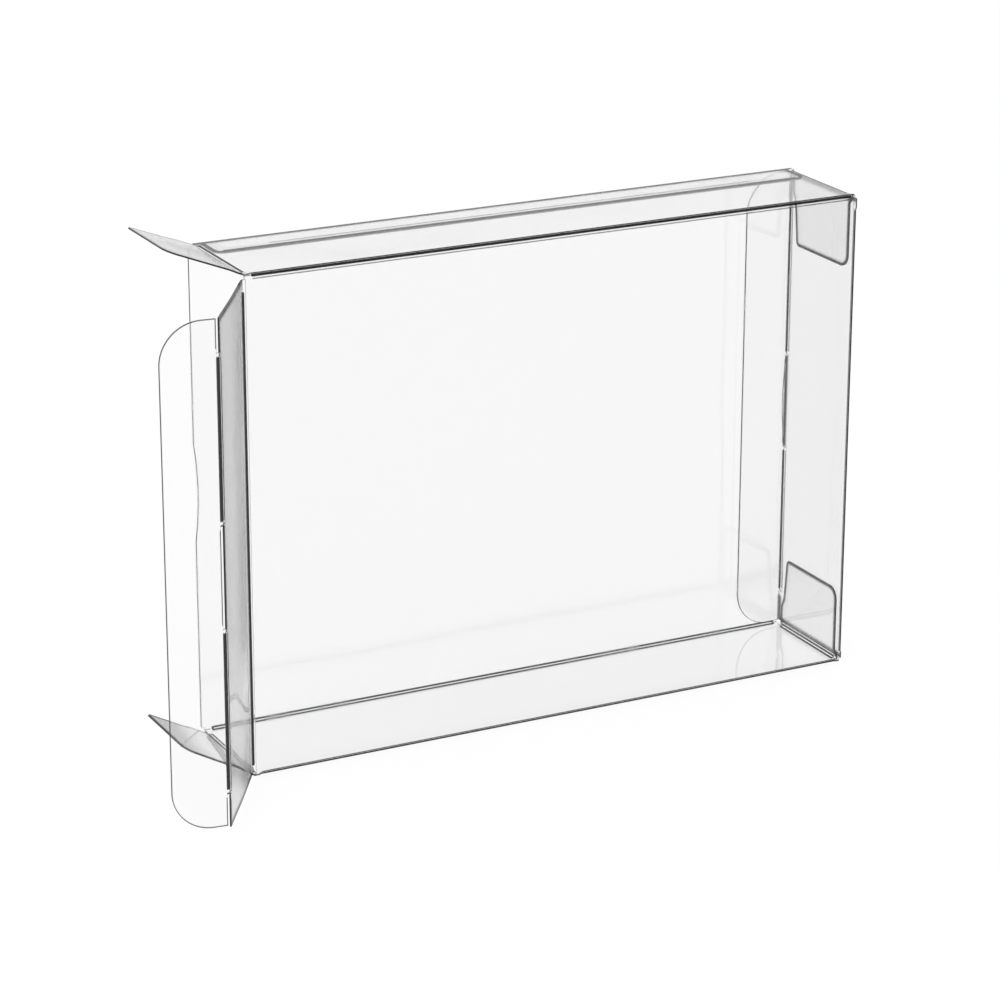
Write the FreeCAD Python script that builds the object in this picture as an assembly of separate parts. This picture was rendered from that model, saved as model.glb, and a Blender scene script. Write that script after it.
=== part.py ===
import FreeCAD, Part
import math
import os

from FreeCAD import Vector

# Clear folding sleeve for a boxed game cartridge: one die-cut film sheet, creased and glued into a tube.
# It stands on its long narrow bottom panel. The right end (+X) is tucked shut, the left end is open.
# Millimetres and degrees. The origin is the centre of the bottom panel's outer face, +Z is up.

# Film, and the clear inside of the folded tube
FILM = 0.4
INNER_LENGTH = 175.0
INNER_DEPTH = 33.0
INNER_HEIGHT = 131.0
FOLD_RADIUS = 0.5

# Glued seam: a strip folded off the back panel, under the top panel
GLUE_WIDTH = 11.0
GLUE_END_INSET = 1.9
GLUE_CORNER_RADIUS = 2.5
SEAM_SETBACK = 0.3

# Finger recess in the back panel's two end edges
RECESS_WIDTH = 26.0
RECESS_DEPTH = 0.9

# End flaps and their tuck tabs, with slits along the crease between them
END_CLEARANCE = 1.2
TUCK_GAP = 0.8
TAB_LENGTH = 14.8
TAB_CORNER_RADIUS = 10.5
TAB_SIDE_INSET = 0.2
END_SLIT_LENGTH = 8.5
MIDDLE_SLIT_LENGTH = 26.0
LIP_HEIGHT = 0.6
SLIT_WIDTH = 0.2

# Dust flaps, with the shoulder that the tab's end slits catch on
DUST_GAP = 0.3
DUST_LENGTH = 20.4
DUST_ROOT = 1.0
DUST_NEAR_GAP = 0.9
DUST_NEAR_STEP = 1.4
DUST_NEAR_STEP_LENGTH = 1.8
DUST_NEAR_RADIUS = 3.4
DUST_TIP_RADIUS = 1.2
SHOULDER_GAP = 2.7
SHOULDER_LENGTH = 6.1
SHOULDER_STEP = 1.2
SHOULDER_STEP_LENGTH = 2.6
DUST_FAR_TAPER = 1.2

# Creases that turn: a full-round film edge in a hollow of this radius
CREASE_SEAT_RADIUS = 0.55
CREASE_END_GAP = 0.2

# How the flaps stand: openings measured from shut, and the fold between an end flap and its tab
OPEN_FLAP_ANGLE = 147.4
OPEN_TAB_ANGLE = 116.1
TOP_DUST_ANGLE = 112.0
BOTTOM_DUST_ANGLE = 61.0
CLOSED_TAB_ANGLE = 86.0

# Sizes that follow
HALF_FILM = FILM / 2
BEND_MIDDLE = FOLD_RADIUS + HALF_FILM
BEND_OUTSIDE = FOLD_RADIUS + FILM
LENGTH = INNER_LENGTH + 2 * FILM
DEPTH = INNER_DEPTH + 2 * FILM
HEIGHT = INNER_HEIGHT + 2 * FILM
FRONT_Y = HALF_FILM - DEPTH / 2
BACK_Y = DEPTH / 2 - HALF_FILM
BACK_INNER_Y = BACK_Y - HALF_FILM
BOTTOM_Z = HALF_FILM
TOP_Z = HEIGHT - HALF_FILM
GLUE_Z = TOP_Z - FILM
END_X = LENGTH / 2 - HALF_FILM
DUST_X = END_X - FILM - DUST_GAP
END_FLAP_WIDTH = BACK_INNER_Y - FRONT_Y - TUCK_GAP
DUST_NEAR_Y = FRONT_Y + HALF_FILM + DUST_NEAR_GAP
DUST_FAR_Y = BACK_INNER_Y - SHOULDER_GAP

SAME_POINT = 1e-6
X_AXIS = Vector(1, 0, 0)
Y_AXIS = Vector(0, 1, 0)
Z_AXIS = Vector(0, 0, 1)


def rounded_face(corners):
    """Flat face in the XY plane through (x, y, radius) corners, each rounded by its radius."""
    runs = []
    for i, (x, y, radius) in enumerate(corners):
        corner = Vector(x, y, 0)
        before = Vector(*corners[i - 1][:2], 0) - corner
        after = Vector(*corners[(i + 1) % len(corners)][:2], 0) - corner
        reach = radius / math.tan(before.getAngle(after) / 2)
        before.normalize()
        after.normalize()
        inward = (before + after).normalize()
        middle = corner + inward * (math.hypot(reach, radius) - radius)
        runs.append((corner + before * reach, middle, corner + after * reach, radius))
    edges = []
    for i, (start, middle, end, radius) in enumerate(runs):
        if radius > 0:
            edges.append(Part.Arc(start, middle, end).toShape())
        following = runs[(i + 1) % len(runs)][0]
        if not end.isEqual(following, SAME_POINT):
            edges.append(Part.LineSegment(end, following).toShape())
    return Part.Face(Part.Wire(edges))


def film_plate(corners):
    """Film with that outline, half its thickness on each side of the XY plane."""
    plate = rounded_face(corners).extrude(Z_AXIS * FILM)
    plate.translate(Z_AXIS * -HALF_FILM)
    return plate


def place(shape, origin, u, v):
    """Copy of a shape drawn in the XY plane, with its x along u and its y along v, from origin."""
    w = u.cross(v)
    return shape.transformed(FreeCAD.Matrix(
        u.x, v.x, w.x, origin.x,
        u.y, v.y, w.y, origin.y,
        u.z, v.z, w.z, origin.z,
        0, 0, 0, 1,
    ))


def block(low, high):
    """Box between its lowest and highest corner."""
    size = high - low
    return Part.makeBox(size.x, size.y, size.z, low)


def rod(radius, start, end):
    """Cylinder between two points."""
    run = end - start
    return Part.makeCylinder(radius, run.Length, start, run)


def sheet_tube():
    """Four panels as one bent strip, from the top panel's glued edge round to the seam fold."""
    glue_start = BACK_Y - BEND_MIDDLE
    seam = glue_start - SEAM_SETBACK
    bends = [(FRONT_Y, TOP_Z), (FRONT_Y, BOTTOM_Z), (BACK_Y, BOTTOM_Z), (BACK_Y, GLUE_Z)]
    outward = [(-1, 1), (-1, -1), (1, -1), (1, 1)]
    outside = [(y + HALF_FILM * a, z + HALF_FILM * b, BEND_OUTSIDE) for (y, z), (a, b) in zip(bends, outward)]
    inside = [(y - HALF_FILM * a, z - HALF_FILM * b, FOLD_RADIUS) for (y, z), (a, b) in zip(bends, outward)]
    section = [(seam, TOP_Z + HALF_FILM, 0), *outside, (glue_start, GLUE_Z + HALF_FILM, 0)]
    section += [(glue_start, GLUE_Z - HALF_FILM, 0), *reversed(inside), (seam, TOP_Z - HALF_FILM, 0)]
    strip = rounded_face(section).extrude(Z_AXIS * 2 * DUST_X)
    return place(strip, X_AXIS * -DUST_X, Y_AXIS, Z_AXIS)


def glue_strip():
    """Strip that carries the glue, with its two free corners rounded."""
    half = DUST_X - GLUE_END_INSET
    start = BACK_Y - BEND_MIDDLE
    free = start - GLUE_WIDTH
    strip = film_plate([
        (-half, start, 0),
        (-half, free, GLUE_CORNER_RADIUS),
        (half, free, GLUE_CORNER_RADIUS),
        (half, start, 0),
    ])
    return place(strip, Z_AXIS * GLUE_Z, X_AXIS, Y_AXIS)


def front_panel_end(side):
    """Stretch of the front panel that runs past the narrow panels to the end flap's crease."""
    low = Vector(min(side * DUST_X, side * END_X), FRONT_Y - HALF_FILM, END_CLEARANCE)
    high = Vector(max(side * DUST_X, side * END_X), FRONT_Y + HALF_FILM, HEIGHT - END_CLEARANCE)
    return block(low, high)


def back_panel_end(side):
    """Stretch of the back panel that runs past the narrow panels to its cut edge."""
    edge = side * LENGTH / 2
    low = Vector(min(side * DUST_X, edge), BACK_Y - HALF_FILM, END_CLEARANCE)
    high = Vector(max(side * DUST_X, edge), BACK_Y + HALF_FILM, HEIGHT - END_CLEARANCE)
    return block(low, high)


def finger_recess(side):
    """Shallow arc taken out of the back panel's end edge, at mid height."""
    radius = (RECESS_WIDTH ** 2 / 4 + RECESS_DEPTH ** 2) / (2 * RECESS_DEPTH)
    middle = Vector(side * (LENGTH / 2 - RECESS_DEPTH + radius), BACK_Y, HEIGHT / 2)
    return rod(radius, middle - Y_AXIS * FILM, middle + Y_AXIS * FILM)


def end_crease(side):
    """Line of the crease between the front panel and an end flap, at the foot of the sleeve."""
    return Vector(side * END_X, FRONT_Y, 0)


def dust_crease(side, z):
    """Line of the crease between a narrow panel and its dust flap, on the sleeve's middle plane."""
    return Vector(side * DUST_X, 0, z)


def dust_outline(root):
    """Dust flap outline, x out from its crease and y from front to back, cut off square at its root."""
    near_y = DUST_NEAR_Y + DUST_NEAR_STEP
    far_y = DUST_FAR_Y - SHOULDER_STEP
    return [
        (root, DUST_NEAR_Y, 0),
        (DUST_ROOT, DUST_NEAR_Y, 0),
        (DUST_ROOT + DUST_NEAR_STEP_LENGTH, near_y, 0),
        (DUST_LENGTH, near_y, DUST_NEAR_RADIUS),
        (DUST_LENGTH, far_y - DUST_FAR_TAPER, DUST_TIP_RADIUS),
        (SHOULDER_LENGTH + SHOULDER_STEP_LENGTH, far_y, 0),
        (SHOULDER_LENGTH, DUST_FAR_Y, 0),
        (root, DUST_FAR_Y, 0),
    ]


def tucked_dust_flap(z, inward):
    """Closed end's dust flap with its bend, folded off the narrow panel at height z."""
    crease = dust_crease(1, z)
    centre = crease - X_AXIS * BEND_MIDDLE + inward * BEND_MIDDLE
    width = Y_AXIS * (DUST_FAR_Y - DUST_NEAR_Y)
    start = centre + Y_AXIS * DUST_NEAR_Y
    ring = Part.makeCylinder(BEND_OUTSIDE, width.Length, start, Y_AXIS)
    ring = ring.cut(Part.makeCylinder(FOLD_RADIUS, width.Length, start, Y_AXIS))
    outer_corner = start + X_AXIS * BEND_OUTSIDE - inward * BEND_OUTSIDE + width
    low = Vector(start.x, start.y, min(start.z, outer_corner.z))
    high = Vector(outer_corner.x, outer_corner.y, max(start.z, outer_corner.z))
    plate = place(film_plate(dust_outline(BEND_MIDDLE)), crease, inward, Y_AXIS)
    return ring.common(block(low, high)).fuse(plate)


def dust_notch(z):
    """Room at the end of a narrow panel for the closed end's dust flap bend."""
    low = Vector(DUST_X - BEND_MIDDLE, DUST_NEAR_Y, z - FILM)
    return block(low, Vector(DUST_X + FILM, DUST_FAR_Y, z + FILM))


def crease_seat(start, end):
    """Hollow along a crease that turns."""
    return rod(CREASE_SEAT_RADIUS, start, end)


def sleeve():
    """Tube, seam and the closed end's two dust flaps, which are all one folded sheet."""
    panels = [glue_strip()]
    hollows = []
    for side in (-1, 1):
        panels += [front_panel_end(side), back_panel_end(side)]
        crease = end_crease(side)
        hollows += [finger_recess(side), crease_seat(crease, crease + Z_AXIS * HEIGHT)]
    dust_near = Y_AXIS * (DUST_NEAR_Y - CREASE_END_GAP)
    dust_far = Y_AXIS * (DUST_FAR_Y + CREASE_END_GAP)
    for z in (BOTTOM_Z, TOP_Z):
        crease = dust_crease(-1, z)
        hollows += [crease_seat(crease + dust_near, crease + dust_far), dust_notch(z)]
    shut = [tucked_dust_flap(BOTTOM_Z, Z_AXIS), tucked_dust_flap(TOP_Z, -Z_AXIS)]
    return sheet_tube().fuse(panels).cut(hollows).fuse(shut).removeSplitter()


def tab_creases():
    """Stretches of the tab's crease that aren't slit, as pairs of heights."""
    low = END_CLEARANCE
    high = HEIGHT - END_CLEARANCE
    middle = HEIGHT / 2
    half_slit = MIDDLE_SLIT_LENGTH / 2
    return [(low + END_SLIT_LENGTH, middle - half_slit), (middle + half_slit, high - END_SLIT_LENGTH)]


def end_flap():
    """End flap drawn flat: x out from its crease, y up. Lips stand past the tab's crease at the slits."""
    edge = END_FLAP_WIDTH + LIP_HEIGHT
    low = END_CLEARANCE
    high = HEIGHT - END_CLEARANCE
    flap = film_plate([(0, low, 0), (edge, low, 0), (edge, high, 0), (0, high, 0)])
    flap = flap.fuse(rod(HALF_FILM, Y_AXIS * low, Y_AXIS * high))
    for start, end in tab_creases():
        beyond = block(Vector(END_FLAP_WIDTH, start, -FILM), Vector(edge + FILM, end, FILM))
        crease = X_AXIS * END_FLAP_WIDTH
        flap = flap.cut([beyond, crease_seat(crease + Y_AXIS * start, crease + Y_AXIS * end)])
    return flap.removeSplitter()


def tuck_tab():
    """Tuck tab drawn flat: x out from its crease, y up, cut clear of the end flap's lips at the slits."""
    low = END_CLEARANCE + TAB_SIDE_INSET
    high = HEIGHT - END_CLEARANCE - TAB_SIDE_INSET
    root = LIP_HEIGHT + SLIT_WIDTH
    tab = film_plate([
        (root, low, 0),
        (TAB_LENGTH, low, TAB_CORNER_RADIUS),
        (TAB_LENGTH, high, TAB_CORNER_RADIUS),
        (root, high, 0),
    ])
    for start, end in tab_creases():
        start += CREASE_END_GAP
        end -= CREASE_END_GAP
        web = film_plate([(0, start, 0), (root, start, 0), (root, end, 0), (0, end, 0)])
        tab = tab.fuse([web, rod(HALF_FILM, Y_AXIS * start, Y_AXIS * end)])
    return tab.removeSplitter()


def dust_flap():
    """Open end's dust flap drawn flat: x out from its crease, y from front to back."""
    edge = rod(HALF_FILM, Y_AXIS * DUST_NEAR_Y, Y_AXIS * DUST_FAR_Y)
    return film_plate(dust_outline(0)).fuse(edge).removeSplitter()


def end_closure(side, opening, fold):
    """End flap and tab of one end, swung by opening from shut and folded at that angle."""
    turn = math.radians(opening)
    flap_way = Vector(side * math.sin(turn), math.cos(turn), 0)
    crease = end_crease(side)
    tab_turn = math.radians(opening + fold - 90)
    tab_way = Vector(-side * math.cos(tab_turn), math.sin(tab_turn), 0)
    flap = place(end_flap(), crease, flap_way, Z_AXIS)
    return flap, place(tuck_tab(), crease + flap_way * END_FLAP_WIDTH, tab_way, Z_AXIS)


def open_dust_flap(z, inward, opening):
    """Open end's dust flap on the narrow panel at height z, swung by opening from shut."""
    turn = math.radians(opening)
    way = inward * math.cos(turn) - X_AXIS * math.sin(turn)
    return place(dust_flap(), dust_crease(-1, z), way, Y_AXIS)


open_flap, open_tab = end_closure(-1, OPEN_FLAP_ANGLE, OPEN_TAB_ANGLE)
closed_flap, closed_tab = end_closure(1, 0, CLOSED_TAB_ANGLE)
nodes = {
    "sleeve": sleeve(),
    "open_end_flap": open_flap,
    "open_end_tuck_tab": open_tab,
    "open_end_dust_flap_top": open_dust_flap(TOP_Z, -Z_AXIS, TOP_DUST_ANGLE),
    "open_end_dust_flap_bottom": open_dust_flap(BOTTOM_Z, Z_AXIS, BOTTOM_DUST_ANGLE),
    "closed_end_flap": closed_flap,
    "closed_end_tuck_tab": closed_tab,
}

os.makedirs("parts", exist_ok=True)
for name, shape in nodes.items():
    print(f"{name}: {len(shape.Solids)} solid, valid {shape.isValid()}, {shape.Volume:.2f} mm3")
    shape.exportStep(f"parts/{name}.step")
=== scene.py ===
import math

import bmesh
import bpy
from mathutils import Matrix, Vector


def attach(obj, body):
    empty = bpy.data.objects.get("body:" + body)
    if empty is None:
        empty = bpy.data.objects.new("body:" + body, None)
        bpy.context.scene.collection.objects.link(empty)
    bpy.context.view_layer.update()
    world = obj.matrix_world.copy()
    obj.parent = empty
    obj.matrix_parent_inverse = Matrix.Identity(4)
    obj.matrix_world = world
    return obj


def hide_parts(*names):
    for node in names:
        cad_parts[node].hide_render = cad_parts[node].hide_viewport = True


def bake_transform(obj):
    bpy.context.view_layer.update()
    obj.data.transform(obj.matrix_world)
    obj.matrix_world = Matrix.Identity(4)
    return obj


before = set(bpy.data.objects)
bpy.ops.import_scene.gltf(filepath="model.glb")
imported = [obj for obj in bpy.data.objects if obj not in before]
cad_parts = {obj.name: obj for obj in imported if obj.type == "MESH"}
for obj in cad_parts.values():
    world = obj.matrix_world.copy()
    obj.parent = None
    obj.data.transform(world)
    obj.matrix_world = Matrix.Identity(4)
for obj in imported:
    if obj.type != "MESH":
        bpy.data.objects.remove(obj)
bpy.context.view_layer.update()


# Camera
# A long lens looks down on the sleeve from its open end, a little to the left of the large front panel.
# The place and the lens come from fitting a box to the eight corners of the sleeve in the photograph.
CAMERA_PLACE = Vector((-0.41285, -0.78782, 0.36454))
CAMERA_AHEAD = Vector((0.43098, 0.84052, -0.32830)).normalized()
CAMERA_RIGHT = Vector((0.89015, -0.45567, 0.00193))
CAMERA_LENS = 129.07

camera_up = CAMERA_RIGHT.cross(CAMERA_AHEAD).normalized()
camera_right = CAMERA_AHEAD.cross(camera_up)
camera = bpy.data.objects.new("camera", bpy.data.cameras.new("camera"))
bpy.context.scene.collection.objects.link(camera)
camera.data.sensor_width = 36.0
camera.data.lens = CAMERA_LENS
camera.data.clip_start = 0.05
camera.data.clip_end = 50.0
turn = Matrix((camera_right, camera_up, -CAMERA_AHEAD)).transposed().to_4x4()
camera.matrix_world = Matrix.Translation(CAMERA_PLACE) @ turn
bpy.context.scene.camera = camera


# Sleeve
# One die-cut sheet of clear PET film, creased along four long folds and glued into a flat-sided tube.
# The closed end's two dust flaps are folded in and held by the end flap, so they belong to this piece.
# Sizes are in millimetres.
MM = 0.001
FILM = 0.4
LENGTH, HEIGHT = 175.8, 131.8
FRONT_Y, BACK_Y = -16.7, 16.7
BOTTOM_Z, TOP_Z = 0.2, 131.6
DUST_X, END_X = 87.0, 87.7
END_CLEARANCE = 1.2
FOLD_BEND = 0.7
# A crease takes up a strip of film on each side, in fine rows, and runs out into the flat at its rim.
# Two pieces that meet at a crease stay a hair apart.
STRIP, STRIP_GAP, STRIP_STEP = 1.0, 0.012, 0.08
CREASE_RIM, RIM_STEP = 1.45, 0.15
CREASE_HALF_WIDTH = 0.8
CREASE_WALL = 0.35
CREASE_DEPTH = 0.17
# Painted shade: the film's colour darkens by distance from a crease's wall, from a thin score line and from
# a cut edge.
# A border that lies nearer than FOLD_REACH to a fold isn't a cut edge.
CLEAREST = 0.998
WALL_PAINTED_SHADE = [(0.0, 0.01), (0.25, 0.01), (0.33, 0.85), (0.4, 1.0)]
SCORE_PAINTED_SHADE = [(0.0, 0.25), (0.09, 0.3), (0.2, 1.0)]
CUT_PAINTED_SHADE = [(0.0, 0.03), (0.08, 0.06), (0.17, 0.9), (0.24, 1.0)]
PAINTED_SHADE_REACH = 1.0
FOLD_REACH = 1.2


def clear_film():
    """Clear extruded film: faint die lines along the sheet, slow waves, light scuffs and the dark lines,
    which are painted shade in its colour at creases, scores, the seam and cut edges.
    """
    mat = bpy.data.materials.new("clear_film")
    mat.use_nodes = True
    nodes, link = mat.node_tree.nodes, mat.node_tree.links.new
    film = nodes["Principled BSDF"]
    film.inputs["IOR"].default_value = 1.57
    film.inputs["Transmission Weight"].default_value = 1.0
    place = nodes.new("ShaderNodeTexCoord")

    waves = nodes.new("ShaderNodeTexNoise")
    waves.inputs["Scale"].default_value = 22
    waves.inputs["Detail"].default_value = 1
    link(place.outputs["Object"], waves.inputs["Vector"])
    stretch = nodes.new("ShaderNodeMapping")
    stretch.inputs["Scale"].default_value = (3, 420, 420)
    link(place.outputs["Object"], stretch.inputs["Vector"])
    die_lines = nodes.new("ShaderNodeTexNoise")
    die_lines.inputs["Scale"].default_value = 1
    die_lines.inputs["Detail"].default_value = 2
    link(stretch.outputs["Vector"], die_lines.inputs["Vector"])

    wave_relief = nodes.new("ShaderNodeBump")
    wave_relief.inputs["Strength"].default_value = 1.0
    wave_relief.inputs["Distance"].default_value = 0.0003
    link(waves.outputs["Fac"], wave_relief.inputs["Height"])
    line_relief = nodes.new("ShaderNodeBump")
    line_relief.inputs["Strength"].default_value = 1.0
    line_relief.inputs["Distance"].default_value = 0.000004
    link(die_lines.outputs["Fac"], line_relief.inputs["Height"])
    link(wave_relief.outputs["Normal"], line_relief.inputs["Normal"])
    link(line_relief.outputs["Normal"], film.inputs["Normal"])

    scuffs = nodes.new("ShaderNodeTexNoise")
    scuffs.inputs["Scale"].default_value = 160
    scuffs.inputs["Detail"].default_value = 6
    link(place.outputs["Object"], scuffs.inputs["Vector"])
    haze = nodes.new("ShaderNodeMapRange")
    haze.inputs["From Min"].default_value = 0.45
    haze.inputs["From Max"].default_value = 0.75
    haze.inputs["To Min"].default_value = 0.02
    haze.inputs["To Max"].default_value = 0.07
    link(scuffs.outputs["Fac"], haze.inputs["Value"])
    link(haze.outputs["Result"], film.inputs["Roughness"])

    # Painted shade: ramps that darken the film's colour into lines near crease walls, scores and cut edges
    shade_ramps = []
    for mark, stops in (("from_wall", WALL_PAINTED_SHADE), ("from_score", SCORE_PAINTED_SHADE), ("from_cut", CUT_PAINTED_SHADE)):
        distance = nodes.new("ShaderNodeAttribute")
        distance.attribute_name = mark
        shade_ramp = nodes.new("ShaderNodeValToRGB")
        for number, (away, shade) in enumerate(stops):
            elements = shade_ramp.color_ramp.elements
            stop = elements[number] if number < 2 else elements.new(1.0)
            stop.position = away / PAINTED_SHADE_REACH
            stop.color = (*[shade * CLEAREST] * 3, 1)
        link(distance.outputs["Fac"], shade_ramp.inputs["Fac"])
        shade_ramps.append(shade_ramp)
    shade = shade_ramps[0].outputs["Color"]
    for other in shade_ramps[1:]:
        both = nodes.new("ShaderNodeMix")
        both.data_type = "RGBA"
        both.blend_type = "MULTIPLY"
        both.inputs["Factor"].default_value = 1.0
        link(shade, both.inputs["A"])
        link(other.outputs["Color"], both.inputs["B"])
        shade = both.outputs["Result"]
    link(shade, film.inputs["Base Color"])

    lamp_way = nodes.new("ShaderNodeBsdfTransparent")
    lamp_way.inputs["Color"].default_value = (0.95, 0.955, 0.96, 1)
    rays = nodes.new("ShaderNodeLightPath")
    let_through = nodes.new("ShaderNodeMixShader")
    link(rays.outputs["Is Shadow Ray"], let_through.inputs["Fac"])
    link(film.outputs["BSDF"], let_through.inputs[1])
    link(lamp_way.outputs["BSDF"], let_through.inputs[2])
    link(let_through.outputs["Shader"], nodes["Material Output"].inputs["Surface"])
    return mat


def crease_press():
    """Node tree that presses a round-ended channel into a sheet along its creases. It marks how far each
    point lies from the creases' walls, from the thin score lines and from the cut edges, which set the
    painted shade there."""
    tree = bpy.data.node_groups.new("crease_press", "GeometryNodeTree")
    sockets = tree.interface.new_socket
    sockets("Film", in_out="INPUT", socket_type="NodeSocketGeometry")
    for lines in ("Crease lines", "Wall lines", "Score lines", "Fold lines"):
        sockets(lines, in_out="INPUT", socket_type="NodeSocketObject")
    for size in ("Half width", "Floor half width", "Depth", "Fold reach"):
        sockets(size, in_out="INPUT", socket_type="NodeSocketFloat")
    sockets("Finish", in_out="INPUT", socket_type="NodeSocketMaterial")
    sockets("Film", in_out="OUTPUT", socket_type="NodeSocketGeometry")
    nodes, link = tree.nodes, tree.links.new
    given = nodes.new("NodeGroupInput")
    distance = {}
    for lines in ("Crease lines", "Wall lines", "Score lines", "Fold lines"):
        line_edges = nodes.new("GeometryNodeObjectInfo")
        link(given.outputs[lines], line_edges.inputs["Object"])
        nearest = nodes.new("GeometryNodeProximity")
        nearest.target_element = "EDGES"
        link(line_edges.outputs["Geometry"], nearest.inputs[0])
        distance[lines] = nearest.outputs["Distance"]
    press = nodes.new("ShaderNodeMapRange")
    press.interpolation_type = "SMOOTHSTEP"
    link(distance["Crease lines"], press.inputs["Value"])
    link(given.outputs["Floor half width"], press.inputs["From Min"])
    link(given.outputs["Half width"], press.inputs["From Max"])
    press.inputs["To Min"].default_value = -1.0
    press.inputs["To Max"].default_value = 0.0
    amount = nodes.new("ShaderNodeMath")
    amount.operation = "MULTIPLY"
    link(press.outputs["Result"], amount.inputs[0])
    link(given.outputs["Depth"], amount.inputs[1])
    outward = nodes.new("GeometryNodeInputNormal")
    move = nodes.new("ShaderNodeVectorMath")
    move.operation = "SCALE"
    link(outward.outputs["Normal"], move.inputs[0])
    link(amount.outputs["Value"], move.inputs["Scale"])
    pressed = nodes.new("GeometryNodeSetPosition")
    link(given.outputs["Film"], pressed.inputs["Geometry"])
    link(move.outputs["Vector"], pressed.inputs["Offset"])
    clear_of_fold = nodes.new("FunctionNodeCompare")
    clear_of_fold.operation = "GREATER_THAN"
    link(distance["Fold lines"], clear_of_fold.inputs["A"])
    link(given.outputs["Fold reach"], clear_of_fold.inputs["B"])
    faces_on_edge = nodes.new("GeometryNodeInputMeshEdgeNeighbors")
    on_border = nodes.new("FunctionNodeCompare")
    on_border.data_type = "INT"
    on_border.operation = "EQUAL"
    link(faces_on_edge.outputs["Face Count"], on_border.inputs["A"])
    one_face = next(socket for socket in on_border.inputs if socket.name == "B" and socket.enabled)
    one_face.default_value = 1
    is_cut = nodes.new("FunctionNodeBooleanMath")
    link(clear_of_fold.outputs["Result"], is_cut.inputs[0])
    link(on_border.outputs["Result"], is_cut.inputs[1])
    cut_edges = nodes.new("GeometryNodeSeparateGeometry")
    cut_edges.domain = "EDGE"
    link(given.outputs["Film"], cut_edges.inputs["Geometry"])
    link(is_cut.outputs["Boolean"], cut_edges.inputs["Selection"])
    nearest_cut = nodes.new("GeometryNodeProximity")
    nearest_cut.target_element = "EDGES"
    link(cut_edges.outputs["Selection"], nearest_cut.inputs[0])
    band = nodes.new("GeometryNodeInputNamedAttribute")
    band.data_type = "FLOAT"
    band.inputs["Name"].default_value = "edge_shade_band"
    from_cut = nodes.new("ShaderNodeMath")
    from_cut.operation = "DIVIDE"
    link(nearest_cut.outputs["Distance"], from_cut.inputs[0])
    link(band.outputs["Attribute"], from_cut.inputs[1])
    marked = pressed
    # Distances that set the painted shade lines in the film's colour
    measures = {
        "from_wall": distance["Wall lines"],
        "from_score": distance["Score lines"],
        "from_cut": from_cut.outputs["Value"],
    }
    for mark, measure in measures.items():
        share = nodes.new("ShaderNodeMath")
        share.operation = "DIVIDE"
        link(measure, share.inputs[0])
        share.inputs[1].default_value = PAINTED_SHADE_REACH * MM
        store = nodes.new("GeometryNodeStoreNamedAttribute")
        store.inputs["Name"].default_value = mark
        link(marked.outputs["Geometry"], store.inputs["Geometry"])
        link(share.outputs["Value"], store.inputs["Value"])
        marked = store
    real = nodes.new("GeometryNodeRealizeInstances")
    link(marked.outputs["Geometry"], real.inputs["Geometry"])
    finish = nodes.new("GeometryNodeSetMaterial")
    link(real.outputs["Geometry"], finish.inputs["Geometry"])
    link(given.outputs["Finish"], finish.inputs["Material"])
    done = nodes.new("NodeGroupOutput")
    link(finish.outputs["Geometry"], done.inputs["Film"])
    return tree


film_finish = clear_film()
press_tree = crease_press()
WELD_DISTANCE = 2e-6
SHARP_ANGLE = math.radians(38)
WALL_END_STEP = 0.2


def line_object(name, lines):
    """Helper object of loose edges, from pairs of points in millimetres."""
    mesh = bpy.data.meshes.new(name)
    ends = [Vector(p) * MM for pair in lines for p in pair]
    mesh.from_pydata(ends, [(i, i + 1) for i in range(0, len(ends), 2)], [])
    lines_here = bpy.data.objects.new(name, mesh)
    bpy.context.scene.collection.objects.link(lines_here)
    return lines_here


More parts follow.
